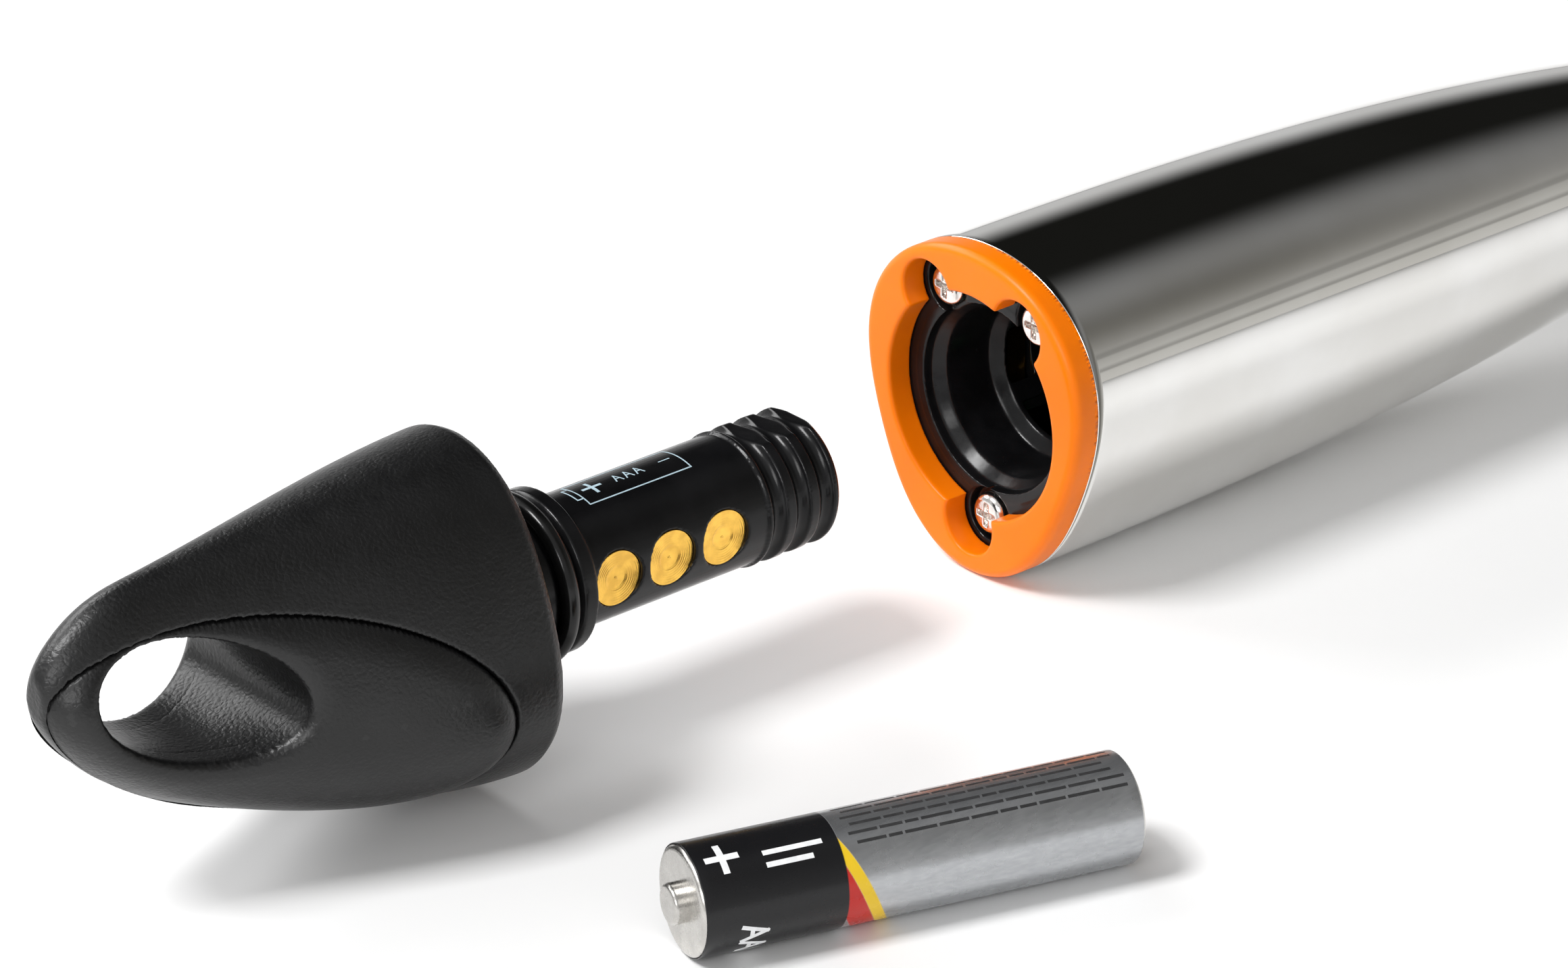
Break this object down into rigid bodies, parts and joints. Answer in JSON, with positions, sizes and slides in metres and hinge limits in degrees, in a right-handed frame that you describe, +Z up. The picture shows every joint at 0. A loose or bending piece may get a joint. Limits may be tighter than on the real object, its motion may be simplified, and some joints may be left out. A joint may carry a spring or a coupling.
{
  "type": "pinpointer probe",
  "caption": "Handheld pinpointer: polished tapering body, orange end ring, black probe with button, twist-in battery carrier on a looped cap drawn from its socket, and its cell beside it.",
  "frame": {"origin": "on the probe's axis, midway along the straight stretch that a holster grips", "axes": "+X along the common axis towards the nose, +Z up away from the body's apex, +Y to the left seen from behind the cap"},
  "size_m": [0.3078, 0.0718, 0.0353],
  "materials": {
    "polished_steel": "mirror polished",
    "orange_plastic": "satin, slightly translucent",
    "screw_steel": "bright plated",
    "socket_plastic": "satin moulded",
    "circuit_board": "solder mask",
    "gold": "gold plated, turned",
    "spring_steel": "plated",
    "chip_black": "moulded epoxy",
    "weight_metal": "sintered tungsten alloy",
    "probe_plastic": "fine moulded grain",
    "seal_rubber": "glossy greased",
    "button_rubber": "matt",
    "lens_clear": "clear",
    "ferrite": "matt sintered",
    "bobbin_plastic": "natural nylon",
    "copper_wire": "enamelled wire",
    "cap_plastic": "fine leather grain",
    "carrier_plastic": "satin moulded",
    "cell_steel": "plated",
    "cell_label": "printed film"
  },
  "bodies": {
    "housing": {"body_shell": "polished_steel", "end_ring": "orange_plastic", "ring_screws": "screw_steel", "socket_liner": "socket_plastic", "mount_frame": "socket_plastic", "socket_board": "circuit_board", "contact_springs": "gold", "tail_spring": "spring_steel", "main_board": "circuit_board", "board_chips": "chip_black", "buzzer": "chip_black", "vibration_motor": "spring_steel", "tact_switch": "chip_black", "control_collar": "probe_plastic", "collar_seal": "seal_rubber", "button_bezel": "orange_plastic", "led_lens": "lens_clear", "lamp": "lens_clear", "probe_tube": "probe_plastic", "nose_cap": "probe_plastic", "ferrite_rod": "ferrite", "coil_bobbin": "bobbin_plastic", "search_coil": "copper_wire"},
    "power_button": {"power_button": "button_rubber"},
    "motor_weight": {"motor_weight": "weight_metal"},
    "seal_carriage": {"cap_o_ring": "seal_rubber"},
    "cap": {"cap_body": "cap_plastic", "cap_pad_left": "cap_plastic", "cap_pad_right": "cap_plastic", "battery_carrier": "carrier_plastic", "battery_contacts": "gold", "positive_terminal": "spring_steel"},
    "battery": {"cell_can": "cell_steel", "cell_jacket": "cell_label", "cell_nub": "cell_steel"}
  },
  "joints": [
    {"name": "cap_slide", "type": "slide", "parent": "housing", "child": "seal_carriage", "axis": [1, 0, 0], "range_m": [0, 0.0622]},
    {"name": "cap_turn", "type": "hinge", "parent": "seal_carriage", "child": "cap", "pos_m": [-0.2125, 0, 0], "axis": [1, 0, 0], "range_deg": [0, 180]},
    {"name": "button_press", "type": "slide", "parent": "housing", "child": "power_button", "axis": [0, 0, 1], "range_m": [-0.0008, 0], "stiffness_N_per_m": 900},
    {"name": "motor_spin", "type": "hinge", "parent": "housing", "child": "motor_weight", "pos_m": [0, 0, 0.0005], "axis": [1, 0, 0], "continuous": true},
    {"name": "cell_lift", "type": "slide", "parent": "housing", "child": "battery", "axis": [0, 0, 1], "range_m": [0, 0.06]}
  ]
}
